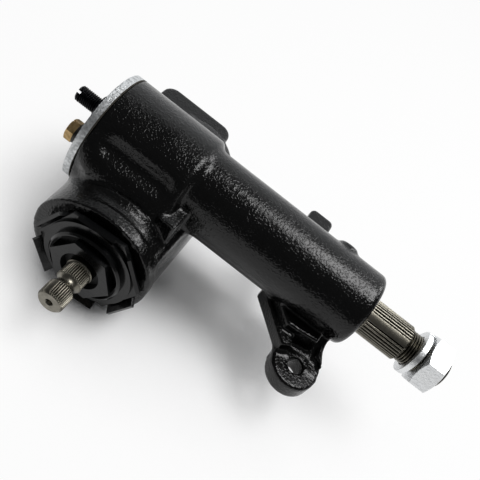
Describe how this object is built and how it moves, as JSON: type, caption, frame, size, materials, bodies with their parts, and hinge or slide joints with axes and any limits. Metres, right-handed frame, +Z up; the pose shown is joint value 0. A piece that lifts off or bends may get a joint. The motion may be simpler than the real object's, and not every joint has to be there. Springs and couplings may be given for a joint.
{
  "type": "steering gearbox",
  "caption": "Recirculating-ball manual steering gearbox: splined input drives a worm, ball nut and toothed sector to a splined pitman shaft in a long tubular cast case with mounting feet",
  "frame": {"origin": "centre of the mounting ear's hole on the mounting plane", "axes": "+X along the sector shaft to the pitman end, -Y along the input shaft out of the case, +Z up from the mounting plane"},
  "size_m": [0.2883, 0.1861, 0.1072],
  "materials": {
    "black_casting": "satin black crinkle paint on cast iron",
    "cast_alloy": "bare die-cast plate",
    "gloss_black_steel": "smooth gloss black",
    "bare_steel": "bare machined steel, oiled",
    "zinc_plate": "bright zinc plate",
    "yellow_zinc": "yellow zinc plate",
    "black_oxide": "black oxide",
    "hardened_steel": "ground hardened steel",
    "pressed_steel": "pressed sheet steel",
    "bronze": "sintered bronze",
    "seal_rubber": "black nitrile rubber",
    "gasket_fibre": "pressed fibre"
  },
  "bodies": {
    "case": {"housing": "black_casting", "rear_cup": "hardened_steel", "front_cup": "hardened_steel", "adjuster_plug": "gloss_black_steel", "input_seal": "seal_rubber", "adjuster_locknut": "gloss_black_steel", "sector_bush_inner": "bronze", "sector_bush_outer": "bronze", "sector_seal": "seal_rubber", "lash_shim": "hardened_steel", "lash_screw": "black_oxide", "cover_bush": "bronze", "cover_gasket": "gasket_fibre", "side_cover": "cast_alloy", "cover_washers": "black_oxide", "cover_bolts": "yellow_zinc", "lash_locknut": "black_oxide"},
    "sector": {"sector_shaft": "bare_steel", "pitman_washer": "zinc_plate", "pitman_nut": "zinc_plate"},
    "worm": {"worm_shaft": "bare_steel"},
    "nut": {"ball_nut": "hardened_steel", "return_guides": "pressed_steel", "guide_clamp": "pressed_steel", "clamp_screw": "black_oxide", "track_balls": "hardened_steel"},
    "rear_bearing": {"rear_cage": "pressed_steel", "rear_balls": "hardened_steel"},
    "front_bearing": {"front_cage": "pressed_steel", "front_balls": "hardened_steel"}
  },
  "joints": [
    {"name": "sector_turn", "type": "hinge", "parent": "case", "child": "sector", "pos_m": [-0.139, 0.0416, 0.044], "axis": [1, 0, 0], "range_deg": [-38, 38]},
    {"name": "worm_turn", "type": "hinge", "parent": "case", "child": "worm", "pos_m": [-0.139, 0.0416, 0.004], "axis": [0, -1, 0], "range_deg": [-608, 608]},
    {"name": "nut_travel", "type": "slide", "parent": "case", "child": "nut", "axis": [0, 1, 0], "range_m": [-0.01453, 0.01453]},
    {"name": "rear_cage_turn", "type": "hinge", "parent": "case", "child": "rear_bearing", "pos_m": [-0.139, 0.0416, 0.004], "axis": [0, -1, 0], "range_deg": [-250, 250]},
    {"name": "front_cage_turn", "type": "hinge", "parent": "case", "child": "front_bearing", "pos_m": [-0.139, 0.0416, 0.004], "axis": [0, -1, 0], "range_deg": [-250, 250]}
  ],
  "couplings": [
    {"joint": "worm_turn", "follows": "sector_turn", "ratio": 16},
    {"joint": "nut_travel", "follows": "sector_turn", "m_per_rad": 0.0219},
    {"joint": "rear_cage_turn", "follows": "sector_turn", "ratio": 6.576},
    {"joint": "front_cage_turn", "follows": "sector_turn", "ratio": 6.576}
  ]
}
